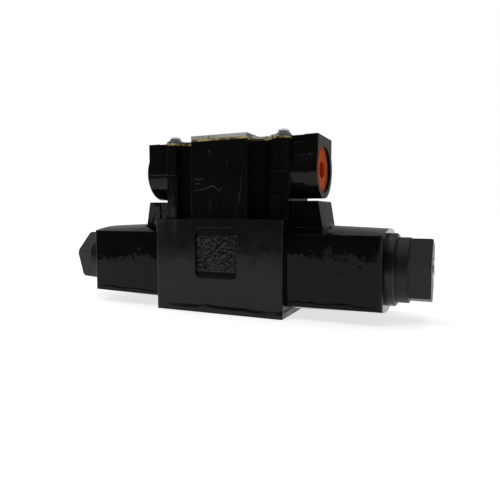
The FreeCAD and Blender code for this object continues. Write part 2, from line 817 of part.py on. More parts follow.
def make_end_ring(label):
    """The steel ring that closes the coil, with a recess for the nut's O-ring."""
    bore = coil_bore_d / 2
    spigot = coil_cavity_d / 2 - static_gap
    recess = end_ring_end - coil_seal_depth
    return turned(label, [
        (coil_outer - end_ring_spigot, bore), (recess, bore), (recess, coil_seal_d / 2),
        (end_ring_end, coil_seal_d / 2), (end_ring_end, end_ring_d / 2 - end_ring_chamfer),
        (end_ring_end - end_ring_chamfer, end_ring_d / 2),
        (coil_outer, end_ring_d / 2), (coil_outer, spigot), (coil_outer - end_ring_spigot, spigot),
    ])


def make_lock_nut(label):
    body = new_body(label)
    corner = nut_corner_d / 2
    hexagon = new_sketch(body, "YZ_Plane", nut_hex_start)
    outline(hexagon, [
        (corner * math.cos(math.radians(60 * k)), corner * math.sin(math.radians(60 * k))) for k in range(6)
    ])
    pad(body, hexagon, nut_end - nut_hex_start)
    collar = new_sketch(body, "YZ_Plane", end_ring_end)
    circle(collar, 0, 0, nut_collar_d)
    pad(body, collar, nut_hex_start - end_ring_end)
    far = nut_end + past
    near = end_ring_end - past
    wide = corner + past
    chamfer = nut_end - nut_chamfer_length
    groove(body, [(chamfer, wide), (far, wide), (far, corner - nut_chamfer_fall), (chamfer, corner)])
    nose = plug_nose_d / 2 + nut_nose_gap
    thread = plug_thread_d / 2 + static_gap
    groove(body, [
        (near, 0), (far, 0), (far, nose), (plug_thread_end, nose), (plug_thread_end, thread),
        (tube_end, thread), (tube_end, nut_cavity_d / 2), (near, nut_cavity_d / 2),
    ])
    return body


def make_solenoid(side):
    """Every piece of one solenoid, on side a or b."""
    on_axis(sleeve(f"spring_seat_{side}", spool_half, seat_end, spool_stub_d + ring_gap, seat_d), side)
    make_spring(f"centring_spring_{side}", side)
    on_axis(sleeve(f"push_pin_{side}", spool_half + spool_stub, armature_start, 0, push_pin_d), side)
    on_axis(make_armature(f"armature_{side}"), side)
    on_axis(make_pole_piece(f"pole_piece_{side}"), side)
    on_axis(sleeve(f"tube_ring_{side}", ring_start, ring_end, tube_inner_d, tube_d), side)
    on_axis(sleeve(f"guide_tube_{side}", ring_end, tube_end, tube_inner_d, tube_d), side)
    on_axis(make_tube_plug(f"tube_plug_{side}"), side)
    on_axis(make_override_pin(f"override_pin_{side}"), side)
    gland_d = pin_d + pin_gland_size * 2
    place_ring(seal_ring(f"pin_seal_{side}", pin_d, gland_d, pin_gland + pin_gland_size / 2), side)
    place_ring(seal_ring(f"tube_seal_{side}", thread_d, seal_recess_d, half_length - seal_recess / 2), side)
    on_axis(make_coil_housing(f"coil_housing_{side}"), side)
    on_axis(make_bobbin(f"coil_bobbin_{side}"), side)
    winding_start = half_length + coil_wall + bobbin_flange
    winding_end = coil_outer - end_ring_spigot - bobbin_flange
    on_axis(sleeve(f"coil_winding_{side}", winding_start, winding_end, coil_bore_d + bobbin_wall * 2, winding_d), side)
    on_axis(make_end_ring(f"coil_end_ring_{side}"), side)
    place_ring(seal_ring(f"coil_seal_{side}", tube_d, coil_seal_d, half_length + coil_seal_depth / 2), side)
    place_ring(seal_ring(f"nut_seal_{side}", tube_d, coil_seal_d, end_ring_end - coil_seal_depth / 2), side)
    turn = -nut_turn if side == "b" else nut_turn
    on_axis(make_lock_nut(f"lock_nut_{side}"), side, turn)
    make_contacts(side)


def place_ring(ring, side):
    """Moves an O-ring from the X axis to the spool axis, on side a or b."""
    half_turn = FreeCAD.Placement(Vector(0, 0, 0), FreeCAD.Rotation(Z_AXIS, SIDES[side]))
    ring.Placement = half_turn.multiply(ring.Placement)
    ring.setExpression("Placement.Base.z", axis_height.text)
    return keep(ring)


def make_contacts(side):
    """Two blades that plug the coil into the terminal box, and the seal round them."""
    blades = []
    for sign in (-1, 1):
        middle = contact_spread * sign
        body = new_body(f"contact_{side}_{'left' if sign < 0 else 'right'}")
        blade = new_sketch(body, "YZ_Plane", contact_start)
        rectangle(blade, middle - contact_width / 2, contact_height - contact_thickness / 2,
                  middle + contact_width / 2, contact_height + contact_thickness / 2)
        pad(body, blade, contact_end - contact_start)
        at_height(body, axis_height, side)
        blades.append(body)
    group(f"contact_blades_{side}", blades)

    seal = new_body(f"connector_seal_{side}")
    ring = new_sketch(seal, "YZ_Plane", box_half_length)
    wide = window_half_width + connector_seal_wall
    tall = window_half_height + connector_seal_wall
    rectangle(ring, -wide, contact_height - tall, wide, contact_height + tall)
    rectangle(ring, -window_half_width, contact_height - window_half_height,
              window_half_width, contact_height + window_half_height)
    pad(seal, ring, block_start - box_half_length)
    keep(at_height(seal, axis_height, side))


# ---------------------------------------------------------------- terminal box

def cross_outline(sketch, long_x, long_y, wide_x, wide_y):
    """A rectangle long_x by long_y with a wider middle wide_x by wide_y, all half sizes."""
    half = [
        (wide_x, -wide_y), (wide_x, -long_y), (long_x, -long_y),
        (long_x, long_y), (wide_x, long_y), (wide_x, wide_y),
    ]
    outline(sketch, half + [(-x, -y) for x, y in half])


def bolt_access(body, bottom, height):
    """Clears the way down to the four mounting bolts."""
    for x, y in BOLT_PLACES:
        hole = new_sketch(body, "XY_Plane", bottom)
        circle(hole, x, y, bolt_access_d)
        pocket(body, hole, height, reverse=True)


def corner_signs():
    return [(x, y) for x in (-1, 1) for y in (-1, 1)]


def make_terminal_box():
    body = new_body("terminal_box")
    shell = new_sketch(body, "XY_Plane", box_low)
    cross_outline(shell, box_half_length, box_half_width, boss_half_length, boss_half_width)
    pad(body, shell, box_top - box_low)

    barrel = new_sketch(body, "YZ_Plane")
    circle(barrel, 0, hub_height, hub_d)
    pad(body, barrel, hub_end * 2, both_ways=True)
    for sign in (-1, 1):
        cap = new_sketch(body, "YZ_Plane", hub_end * sign)
        rectangle(cap, -hub_cap_half_width, hub_height, hub_cap_half_width, hub_cap_top)
        pad(body, cap, hub_end - box_half_length, reverse=sign > 0)

    screw_lugs(body, lid_boss_low, box_top - lid_boss_low)
    for sign in (-1, 1):
        foot = new_sketch(body, "XY_Plane", box_low)
        low_x, high_x = in_order(foot_low_x * sign, foot_high_x * sign)
        low_y, high_y = in_order(foot_face * -sign, cavity_half_width * -sign)
        rectangle(foot, low_x, low_y, high_x, high_y)
        pad(body, foot, foot_top - box_low)
    bolt_access(body, body_height, box_top - body_height + past)
    return body


def hollow_terminal_box(body):
    """The wiring room, the conduit threads, the windows for the coil blades and the screw holes."""
    room = new_sketch(body, "XY_Plane", box_low + box_floor)
    cross_outline(room, cavity_half_length, cavity_half_width, cavity_boss_length, cavity_boss_width)
    pocket(body, room, box_top - box_low, reverse=True)

    thread_floor = hub_end - hub_thread_depth
    for inner, outer, diameter in ((thread_floor, hub_end + past, hub_bore_d),
                                   (cavity_half_length - past, thread_floor + past, hub_inner_d)):
        for sign in (-1, 1):
            hole = new_sketch(body, "YZ_Plane", inner * sign)
            circle(hole, 0, hub_height, diameter)
            pocket(body, hole, outer - inner, reverse=sign > 0)
    for x, y in corner_signs():
        notch = new_sketch(body, "XY_Plane", box_top - hub_notch_rise)
        low_x, high_x = in_order(box_half_length * x, hub_notch_end * x)
        low_y, high_y = in_order((hub_cap_half_width - hub_notch_depth) * y, (lid_boss_face + past) * y)
        rectangle(notch, low_x, low_y, high_x, high_y)
        pocket(body, notch, hub_cap_top - box_top + hub_notch_rise + past, reverse=True)
        hole = new_sketch(body, "XY_Plane", box_top)
        circle(hole, lid_screw_x * x, lid_screw_y * y, lid_screw_hole_d)
        pocket(body, hole, screw_length)
    windows = new_sketch(body, "YZ_Plane")
    height = axis_height + contact_height
    rectangle(windows, -window_half_width, height - window_half_height, window_half_width, height + window_half_height)
    pocket(body, windows, box_half_length * 2 + past, both_ways=True)
    for sign in (-1, 1):
        hole = new_sketch(body, "XY_Plane", box_low - past)
        circle(hole, box_screw_x * sign, box_screw_y * sign, box_screw_d + clearance)
        pocket(body, hole, box_floor + past * 2, reverse=True)
    earth = new_sketch(body, "XY_Plane", box_low + box_floor)
    circle(earth, -box_screw_x, box_screw_y, box_screw_d)
    pocket(body, earth, earth_hole_depth)
    return body


def screw_lugs(body, bottom, thickness):
    """The four corner pads that the lid screws pass through."""
    for x, y in corner_signs():
        lug = new_sketch(body, "XY_Plane", bottom)
        middle = lid_screw_x * x
        low_y, high_y = in_order(cavity_half_width * y, lid_boss_face * y)
        rectangle(lug, middle - lid_boss_half, low_y, middle + lid_boss_half, high_y)
        pad(body, lug, thickness)


def in_order(*sizes):
    return sorted(sizes, key=lambda size: size.number)


def flat_cover(label, bottom, thickness, window, half_length_here, lugs=True):
    """A sheet with the box's outline, cut back at the bolts, with or without a window."""
    body = new_body(label)
    plate = new_sketch(body, "XY_Plane", bottom)
    cross_outline(plate, half_length_here, box_half_width, boss_half_length, boss_half_width)
    if window:
        cross_outline(plate, cavity_half_length - gasket_lip, cavity_half_width, cavity_boss_length, cavity_boss_width)
    pad(body, plate, thickness)
    if lugs:
        screw_lugs(body, bottom, thickness)
    bolt_access(body, bottom - past, thickness + past * 2)
    return body


def lid_screw_holes(body, bottom, thickness):
    for x, y in corner_signs():
        hole = new_sketch(body, "XY_Plane", bottom - past)
        circle(hole, lid_screw_x * x, lid_screw_y * y, lid_clear_d)
        pocket(body, hole, thickness + past * 2, reverse=True)


def make_box_gasket():
    body = flat_cover("box_gasket", body_height, box_gasket_thickness, False, box_half_length, lugs=False)
    for sign in (-1, 1):
        hole = new_sketch(body, "XY_Plane", body_height - past)
        circle(hole, box_screw_x * sign, box_screw_y * sign, box_screw_d + clearance)
        pocket(body, hole, box_gasket_thickness + past * 2, reverse=True)
    return keep(body)


def make_lid():
    """A clear cover, raised over the middle, on a thin gasket."""
    gasket = flat_cover("lid_gasket", box_top, lid_gasket_thickness, True, lid_half_length)
    lid_screw_holes(gasket, box_top, lid_gasket_thickness)
    keep(gasket)
    bottom = box_top + lid_gasket_thickness
    lid = flat_cover("lid", bottom, lid_thickness, False, lid_half_length)
    raised = new_sketch(lid, "XY_Plane", bottom)
    rectangle(raised, -boss_half_length, -boss_half_width, boss_half_length, boss_half_width)
    pad(lid, raised, lid_thickness + lid_raise)
    lid_screw_holes(lid, bottom, lid_thickness)
    return keep(lid)


def make_screw(label, head_d, head_height, shank_d, length):
    """A pan-head screw about Z, with its head's underside at the origin and a crossed recess."""
    head = head_d / 2
    shank = shank_d / 2
    side = head_height * HEAD_SIDE
    body = turned(label, [
        (-length, 0), (-length, shank - screw_point), (screw_point - length, shank), (0, shank), (0, head),
        (side, head), (head_height * HEAD_SHOULDER, head * SHOULDER_SIZE), (head_height, head * CROWN_SIZE),
        (head_height, 0),
    ], along="Z")
    long, short = head * RECESS_SIZE, screw_slot / 2
    for half_x, half_y in ((long, short), (short, long)):
        slot = new_sketch(body, "XY_Plane", side)
        rectangle(slot, -half_x, -half_y, half_x, half_y)
        pocket(body, slot, head_height, reverse=True)
    return body


def make_washer(label):
    """An externally toothed lock washer about Z."""
    body = new_body(label)
    ring = new_sketch(body, "XY_Plane")
    circle(ring, 0, 0, washer_d)
    circle(ring, 0, 0, washer_hole_d)
    pad(body, ring, washer_thickness)
    notch = new_sketch(body, "XY_Plane", -past)
    circle(notch, washer_d / 2, 0, washer_notch_d)
    cut = pocket(body, notch, washer_thickness + past * 2, reverse=True)
    polar(body, cut, "Z_Axis", WASHER_TEETH)
    return body


def put(feature, x, y, z):
    """Places a piece by spreadsheet sizes."""
    for axis, size in zip("xyz", (x, y, z)):
        feature.setExpression(f"Placement.Base.{axis}", as_size(size).text)
    return feature


def make_lid_fasteners():
    lid_face = box_top + lid_gasket_thickness + lid_thickness
    screws = []
    washers = []
    for index, (x, y) in enumerate(corner_signs()):
        place = (lid_screw_x * x, lid_screw_y * y)
        washers.append(put(make_washer(f"washer_{index}"), *place, lid_face))
        screw = make_screw(f"lid_screw_{index}", screw_head_d, screw_head_height,
                           lid_screw_hole_d - static_gap * 2, screw_length)
        screws.append(put(screw, *place, lid_face + washer_thickness))
    group("lock_washers", washers)
    group("lid_screws", screws)


def make_box_screws():
    floor = box_low + box_floor
    screws = []
    for sign in (-1, 1):
        reach = box_floor + box_gasket_thickness + box_screw_depth - screw_tip_gap
        screw = make_screw(f"box_screw_{(sign + 1) // 2}", box_screw_head_d, box_screw_head_height,
                           box_screw_d - static_gap * 2, reach)
        screws.append(put(screw, box_screw_x * sign, box_screw_y * sign, floor))
    group("box_screws", screws)


def make_terminals():
    """A moulded block on the box's floor, its clamp screws, and the lamp board on two posts."""
    floor = box_low + box_floor
    block = new_body("terminal_block")
    base = new_sketch(block, "XY_Plane", floor)
    rectangle(base, -terminal_half, -terminal_front, terminal_half, board_high)
    pad(block, base, terminal_base_thickness)
    front = new_sketch(block, "XY_Plane", floor)
    rectangle(front, -terminal_half, -terminal_front, terminal_half, -terminal_back)
    pad(block, front, terminal_top - floor)
    for sign in (-1, 1):
        post = new_sketch(block, "XY_Plane", floor)
        circle(post, (terminal_half - post_inset) * sign, post_side, post_d)
        pad(block, post, board_height - floor)
    middle_y = (terminal_front + terminal_back) / 2
    places = [terminal_pitch * (k - (TERMINAL_COUNT - 1) / 2) for k in range(TERMINAL_COUNT)]
    for x in places:
        slot = new_sketch(block, "XY_Plane", terminal_top)
        rectangle(slot, x - terminal_slot / 2, -terminal_front - past, x + terminal_slot / 2, -terminal_back + past)
        pocket(block, slot, terminal_slot_depth)
        hole = new_sketch(block, "XY_Plane", terminal_top)
        circle(hole, x, -middle_y, terminal_screw_d + static_gap * 2)
        pocket(block, hole, terminal_hole_depth)
    keep(block)

    screws = []
    for index, x in enumerate(places):
        screw = make_screw(f"terminal_screw_{index}", terminal_head_d, terminal_head_height,
                           terminal_screw_d, terminal_screw_length)
        screws.append(put(screw, x, -middle_y, terminal_top - terminal_slot_depth))
    group("terminal_screws", screws)

    board = new_body("lamp_board")
    plate = new_sketch(board, "XY_Plane", board_height)
    rectangle(plate, -terminal_half, board_low, terminal_half, board_high)
    pad(board, plate, board_thickness)
    keep(board)

    lamps = []
    for sign in (-1, 1):
        radius = lamp_d / 2
        lamp = turned(f"lamp_{(sign + 1) // 2}", [
            (0, 0), (0, radius + lamp_rim), (lamp_rim_height, radius + lamp_rim), (lamp_rim_height, radius),
            (lamp_height - radius, radius), (lamp_height, 0, radius),
        ], along="Z")
        lamps.append(put(lamp, lamp_spread * sign, lamp_side, board_height + board_thickness))
    group("indicator_lamps", lamps)

    earth = make_screw("earth_screw", earth_head_d, earth_head_height,
                       box_screw_d - static_gap * 2, earth_hole_depth - screw_tip_gap)
    return keep(put(earth, -box_screw_x, box_screw_y, floor))


def make_conduit_plug(side):
    """A threaded blanking plug with a hexagonal socket."""
    body = new_body(f"conduit_plug_{side}")
    barrel = new_sketch(body, "YZ_Plane", conduit_plug_face)
    circle(barrel, 0, 0, conduit_plug_d)
    pad(body, barrel, conduit_plug_length, reverse=True)
    corner = conduit_socket / 2 / math.cos(math.radians(30))
    socket = new_sketch(body, "YZ_Plane", conduit_plug_face)
    outline(socket, [
        (corner * math.sin(math.radians(60 * k)), corner * math.cos(math.radians(60 * k))) for k in range(6)
    ])
    pocket(body, socket, conduit_socket_depth)
    return keep(at_height(body, hub_height, side))


# ---------------------------------------------------------------- the whole valve

keep(hollow_valve_body(make_valve_body()))
make_port_seals()
make_spool()
for side in SIDES:
    make_solenoid(side)
    make_conduit_plug(side)
keep(hollow_terminal_box(make_terminal_box()))
make_box_gasket()
make_lid()
make_lid_fasteners()
make_box_screws()
make_terminals()


# ---------------------------------------------------------------- checks and files

doc.recompute()
for feature in doc.Objects:
    if "Invalid" in feature.State or "Error" in feature.State:
        raise RuntimeError(f"{feature.Name} ({feature.Label}): {feature.State}")
for feature in exported:
    if feature.Shape.isNull() or not feature.Shape.isValid():
        raise RuntimeError(f"{feature.Label} has no valid shape")

os.makedirs("parts", exist_ok=True)
for feature in exported:
    feature.Shape.exportStep(f"parts/{feature.Label}.step")
    size = feature.Shape.BoundBox
    print(f"{feature.Label:24s} {len(feature.Shape.Solids)} solid(s) {feature.Shape.Volume:10.1f} mm3 "
          f"{size.XLength:6.1f} {size.YLength:6.1f} {size.ZLength:6.1f}")
print(len(exported), "nodes")
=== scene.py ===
import json
import math
import random

import bmesh
import bpy
from mathutils import Matrix, Vector, noise


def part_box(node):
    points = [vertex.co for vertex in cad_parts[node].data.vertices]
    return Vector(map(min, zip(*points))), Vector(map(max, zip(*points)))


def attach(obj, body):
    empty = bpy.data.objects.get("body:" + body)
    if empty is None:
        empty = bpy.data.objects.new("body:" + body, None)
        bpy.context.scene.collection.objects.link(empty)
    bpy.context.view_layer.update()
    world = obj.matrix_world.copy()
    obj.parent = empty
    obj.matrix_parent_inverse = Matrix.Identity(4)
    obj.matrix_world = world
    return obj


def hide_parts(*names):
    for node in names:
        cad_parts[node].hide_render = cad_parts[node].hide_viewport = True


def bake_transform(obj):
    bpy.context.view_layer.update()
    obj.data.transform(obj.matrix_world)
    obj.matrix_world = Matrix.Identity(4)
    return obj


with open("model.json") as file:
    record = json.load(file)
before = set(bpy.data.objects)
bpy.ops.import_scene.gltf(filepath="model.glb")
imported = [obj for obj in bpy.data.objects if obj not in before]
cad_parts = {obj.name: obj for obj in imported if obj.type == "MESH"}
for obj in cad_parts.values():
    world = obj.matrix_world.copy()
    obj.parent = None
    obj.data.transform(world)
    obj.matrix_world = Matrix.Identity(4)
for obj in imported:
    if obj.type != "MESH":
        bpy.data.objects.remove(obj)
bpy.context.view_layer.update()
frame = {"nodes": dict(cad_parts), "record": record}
nodes = frame["nodes"]
MM = 0.001


# ---------------------------------------------------------------- node trees

class Tree:
    """The nodes of a material or a world, added and joined by short calls."""

    def __init__(self, owner):
        owner.use_nodes = True
        self.tree = owner.node_tree
        self.tree.nodes.clear()

    def add(self, kind, **settings):
        node = self.tree.nodes.new("ShaderNode" + kind)
        for name, value in settings.items():
            setattr(node, name, value)
        return node

    def join(self, source, target):
        """Feeds an input from another node's output, or sets it to a plain value."""
        if isinstance(source, bpy.types.NodeSocket):
            self.tree.links.new(source, target)
        else:
            target.default_value = source

    def math(self, operation, first, second):
        node = self.add("Math", operation=operation)
        self.join(first, node.inputs[0])
        self.join(second, node.inputs[1])
        return node.outputs[0]

    def between(self, value, low, high, to_low=0.0, to_high=1.0):
        """Value rescaled from low..high to to_low..to_high, and held there."""
        node = self.add("MapRange")
        self.join(value, node.inputs["Value"])
        ends = {"From Min": low, "From Max": high, "To Min": to_low, "To Max": to_high}
        for name, number in ends.items():
            self.join(number, node.inputs[name])
        return node.outputs["Result"]

    def parts(self, vector):
        """The X, Y and Z of a vector."""
        node = self.add("SeparateXYZ")
        self.join(vector, node.inputs[0])
        return node.outputs


class Shader(Tree):
    """A material on the object's own coordinates, which are the frame's."""

    def __init__(self, name):
        self.material = bpy.data.materials.new(name)
        super().__init__(self.material)
        self.surface = self.add("BsdfPrincipled")
        output = self.add("OutputMaterial")
        self.join(self.surface.outputs[0], output.inputs["Surface"])
        self.place = self.add("TexCoord").outputs["Object"]

    def stretched(self, scale):
        """The object's own coordinates, stretched along each axis."""
        node = self.add("Mapping")
        self.join(self.place, node.inputs["Vector"])
        node.inputs["Scale"].default_value = scale
        return node.outputs[0]

    def noise(self, scale, detail=3.0, roughness=0.5, stretch=None, distortion=0.0):
        node = self.add("TexNoise")
        self.join(self.stretched(stretch) if stretch else self.place, node.inputs["Vector"])
        node.inputs["Scale"].default_value = scale
        node.inputs["Detail"].default_value = detail
        node.inputs["Roughness"].default_value = roughness
        node.inputs["Distortion"].default_value = distortion
        return node.outputs["Fac"]

    def cells(self, scale):
        node = self.add("TexVoronoi")
        self.join(self.place, node.inputs["Vector"])
        node.inputs["Scale"].default_value = scale
        return node.outputs["Distance"]

    def mix(self, share, first, second):
        """A blend of two colours."""
        node = self.add("Mix", data_type="RGBA")
        self.join(share, node.inputs["Factor"])
        self.join(first, node.inputs[6])
        self.join(second, node.inputs[7])
        return node.outputs[2]

    def rounded(self, radius):
        """The normal of the shape with its edges rounded."""
        node = self.add("Bevel", samples=4)
        node.inputs["Radius"].default_value = radius
        return node.outputs[0]

    def edges(self, radius):
        """1 on edges and 0 on open faces: the rounded normal against the true one."""
        flat = self.add("NewGeometry").outputs["Normal"]
        dot = self.add("VectorMath", operation="DOT_PRODUCT")
        self.join(self.rounded(radius), dot.inputs[0])
        self.join(flat, dot.inputs[1])
        return self.between(dot.outputs["Value"], 0.999, 0.9)

    def bead(self):
        """A low swelling just above z = 0, broken into long drops."""
        sway = self.between(self.noise(60, 1.0, stretch=(1, 1, 0.001)), 0.3, 0.7, -0.6 * MM, 0.8 * MM)
        height = self.math("ADD", self.parts(self.place)["Z"], sway)
        up = self.between(height, 0.5 * MM, 2.0 * MM)
        down = self.between(height, 3.6 * MM, 2.0 * MM)
        drops = self.between(self.noise(30, 1.0, 0.5, stretch=(1, 1, 0.001)), 0.44, 0.60)
        return self.math("MULTIPLY", self.math("MULTIPLY", up, down), drops)

    def relief(self, layers, edge_radius=None):
        """Bump layers of (height, distance in metres) over edges that read as rounded."""
        normal = self.rounded(edge_radius) if edge_radius else None
        for height, distance in layers:
            bump = self.add("Bump")
            bump.inputs["Distance"].default_value = distance
            self.join(height, bump.inputs["Height"])
            if normal:
                self.join(normal, bump.inputs["Normal"])
            normal = bump.outputs[0]
        self.join(normal, self.surface.inputs["Normal"])

    def set(self, **values):
        for name, value in values.items():
            self.join(value, self.surface.inputs[name.replace("_", " ")])


def grey(value, tint=(1, 1, 1)):
    return (value * tint[0], value * tint[1], value * tint[2], 1)


# ---------------------------------------------------------------- finishes

def enamel(name, tones, gloss, specular, waves=0.10 * MM, beaded=False, tint=(1, 1, 0.97)):
    """Thick glossy black paint: slow waves, runs that hang down, dust under the coat, and a painted
    highlight along the edges.

    A beaded coat gathered along the lower edge, at z = 0.
    """
    shader = Shader(name)
    patches = shader.noise(60, 4, 0.6)
    specks = shader.between(shader.cells(900), 0.10, 0.04)
    dust = shader.math("MULTIPLY", specks, shader.between(shader.noise(150), 0.55, 0.7))
    colour = shader.mix(shader.between(patches, 0.35, 0.7), grey(tones[0], tint), grey(tones[1], tint))
    colour = shader.mix(shader.math("MULTIPLY", dust, 0.5), colour, grey(0.16))
    # edges lightened towards grey: a painted highlight along every edge
    colour = shader.mix(shader.math("MULTIPLY", shader.edges(0.3 * MM), 0.35), colour, grey(0.06))
    runs = shader.between(shader.noise(160, 1.0, 0.5, stretch=(1, 1, 0.3), distortion=0.8), 0.42, 0.62)
    layers = [
        (shader.noise(110, 2.0, 0.5), waves), (runs, waves / 2), (shader.noise(900, 2), waves / 25),
        (dust, 0.06 * MM),
    ]
    if beaded:
        layers.append((shader.bead(), 0.5 * MM))
    shader.relief(layers, edge_radius=0.3 * MM)
    rough = shader.between(patches, 0.3, 0.75, gloss * 0.8, gloss * 1.3)
    shader.set(Base_Color=colour, Roughness=shader.math("ADD", rough, shader.math("MULTIPLY", dust, 0.2)),
               Specular_IOR_Level=specular, IOR=1.5)
    return shader.material


def cast_enamel():
    """The same paint over a rough cast surface, in the sunk panel."""
    shader = Shader("cast_enamel")
    lumps = shader.noise(420, 4, 0.6)
    shader.relief([(lumps, 0.08 * MM), (shader.noise(1800, 2), 0.02 * MM)])
    shader.set(Base_Color=shader.mix(lumps, grey(0.004), grey(0.009, (1, 1, 0.95))),
               Roughness=shader.between(lumps, 0.3, 0.7, 0.16, 0.3), Specular_IOR_Level=0.3)
    return shader.material


def moulded(name, low, high, rough, sheen=0.5):
    """Moulded plastic: a fine spark-eroded grain, faint flow marks and rubbed edges."""
    shader = Shader(name)
    flow = shader.noise(45, 4, 0.65, stretch=(0.4, 1, 1))
    fine = shader.noise(2400, 2, 0.6)
    patches = shader.between(shader.noise(220, 3), 0.4, 0.65)
    rubbed = shader.math("MULTIPLY", shader.edges(0.3 * MM), patches)
    pale = tuple(min(1.0, 1.7 * v + 0.02) for v in high[:3]) + (1,)
    colour = shader.mix(shader.between(flow, 0.3, 0.7), low, high)
    colour = shader.mix(shader.math("MULTIPLY", rubbed, 0.45), colour, pale)
    shader.relief([(fine, 0.012 * MM), (flow, 0.03 * MM)], edge_radius=0.25 * MM)
    shader.set(Base_Color=colour, Roughness=shader.between(fine, 0.3, 0.7, rough * 0.85, rough * 1.15),
               Specular_IOR_Level=sheen)
    return shader.material


def metal(name, colour, rough, turned=(1, 1, 1), stain=0.35):
    """Bare or plated metal: tool marks along one direction, dull spots and bright edges."""
    shader = Shader(name)
    marks = shader.noise(2500, 3, 0.6, stretch=turned)
    spots = shader.noise(260, 5, 0.7)
    dull = tuple(v * (1 - stain) for v in colour) + (1,)
    tone = shader.mix(shader.between(spots, 0.4, 0.75), tuple(colour) + (1,), dull)
    bright = tuple(min(1, 1.15 * v) for v in colour) + (1,)
    tone = shader.mix(shader.math("MULTIPLY", shader.edges(0.15 * MM), 0.5), tone, bright)
    shader.relief([(marks, 0.008 * MM)], edge_radius=0.12 * MM)
    shader.set(Base_Color=tone, Metallic=1.0,
               Roughness=shader.between(spots, 0.3, 0.75, rough * 0.8, rough * 1.5))
    return shader.material


def clear_lid():
    """Clear plastic that has gone slightly grey and yellow, lightly scuffed."""
    shader = Shader("clear_plastic")
    haze = shader.noise(70, 4, 0.6)
    scuffs = shader.noise(600, 3, 0.7, stretch=(0.15, 1, 1))
    shader.relief([(scuffs, 0.010 * MM)], edge_radius=0.2 * MM)
    shader.set(Base_Color=shader.mix(haze, (0.66, 0.66, 0.64, 1), (0.56, 0.55, 0.48, 1)),
               Roughness=shader.between(scuffs, 0.35, 0.7, 0.07, 0.17),
               IOR=1.49, Transmission_Weight=0.85)
    return shader.material


def gasket():
    """Yellowed sealing strip with darker, oil-soaked stretches."""
    shader = Shader("gasket_yellow")
    soaked = shader.noise(230, 4, 0.7, stretch=(1, 1, 0.3))
    colour = shader.mix(shader.between(soaked, 0.46, 0.56), (0.62, 0.47, 0.13, 1), (0.07, 0.055, 0.03, 1))
    shader.relief([(shader.noise(1300, 2), 0.03 * MM)])
    shader.set(Base_Color=colour, Roughness=shader.between(soaked, 0.3, 0.7, 0.35, 0.6))
    return shader.material


def wound_copper():
    """Enamelled wire in close turns."""
    shader = Shader("copper_winding")
    turns = shader.add("TexWave", bands_direction="X")
    shader.join(shader.place, turns.inputs["Vector"])
    turns.inputs["Scale"].default_value = 650
    shader.relief([(turns.outputs["Fac"], 0.15 * MM)])
    shader.set(Base_Color=shader.mix(shader.noise(200), (0.55, 0.20, 0.07, 1), (0.35, 0.11, 0.04, 1)),
               Metallic=0.6, Roughness=shader.between(shader.noise(500), 0.3, 0.7, 0.25, 0.4))
    return shader.material


finish = {
    "black_paint": enamel("black_paint", (0.0034, 0.0050), 0.12, 0.18, 0.14 * MM),
    "coil_black": enamel("coil_black", (0.0026, 0.0042), 0.06, 0.12),
    "nut_plastic": moulded("nut_plastic", grey(0.009), grey(0.015, (1, 1, 1.03)), 0.42, sheen=0.22),
    "steel": metal("steel", (0.52, 0.52, 0.53), 0.34, turned=(1, 0.1, 0.1)),
    "ground_steel": metal("ground_steel", (0.66, 0.66, 0.68), 0.18, turned=(4, 0.1, 0.1), stain=0.12),
    "zinc": metal("zinc", (0.70, 0.71, 0.74), 0.28, turned=(1, 1, 0.2)),
    "spring_steel": metal("spring_steel", (0.30, 0.31, 0.33), 0.30),
    "brass": metal("brass", (0.72, 0.52, 0.23), 0.26, turned=(3, 0.2, 0.2)),
    "copper_winding": wound_copper(),
    "rubber": moulded("rubber", grey(0.012), grey(0.022), 0.7, sheen=0.3),
    "gasket_yellow": gasket(),
    "clear_plastic": clear_lid(),
    "orange_plastic": moulded("orange_plastic", (0.46, 0.046, 0.002, 1), (0.64, 0.076, 0.003, 1), 0.45,
                              sheen=0.08),
    "grey_plastic": moulded("grey_plastic", grey(0.36), grey(0.46), 0.5),
    "cream_plastic": moulded("cream_plastic", (0.62, 0.56, 0.42, 1), (0.72, 0.66, 0.52, 1), 0.5),
    "board_green": moulded("board_green", (0.010, 0.11, 0.035, 1), (0.016, 0.16, 0.055, 1), 0.3),
    "lamp_red": moulded("lamp_red", (0.42, 0.012, 0.008, 1), (0.55, 0.02, 0.012, 1), 0.12),
}
ring_finish = moulded("ring_black", grey(0.007), grey(0.011), 0.30, sheen=0.26)
# the cast body's coat is softer and browner than the coils'
own_finish = {
    "coil_end_ring_a": ring_finish,
    "coil_end_ring_b": ring_finish,
    "valve_body": enamel("body_enamel", (0.0060, 0.0085), 0.15, 0.21, 0.08 * MM, True, (1, 0.99, 0.90)),
}


def paint(thing, material):
    thing.data.materials.clear()
    thing.data.materials.append(material)


slot_of = {part["node"]: part["material_slot"] for part in frame["record"]["subparts"]}
for name, thing in nodes.items():
    paint(thing, own_finish.get(name, finish[slot_of[name]]))

# ---------------------------------------------------------------- pieces

# sizes and places on the valve, in mm
PANEL_HALF, PANEL_LOW, PANEL_HIGH, PANEL_DEPTH = 11.0, 16.5, 40.2, 1.3
GRID_PITCH, GRID_SINK = 0.2, 0.06
BLOCK_HALF, BLOCK_FOOT = 12.0, 47.6
FILLET_RADIUS, FILLET_STEPS = 0.9, 32
COIL_EDGE, COIL_EDGE_CLIMB = 5.3, 0.012
BEAD_RISE, BEAD_SWAY, BEAD_STEPS = 1.7, 0.3, 24
RING_TURNS = [math.tau * corner / 8 for corner in range(8)]
PATH_STEPS = 8
RUN_THICKNESS, DRIP_THICKNESS, BEAD_THICKNESS = 0.26, 0.16, 0.32

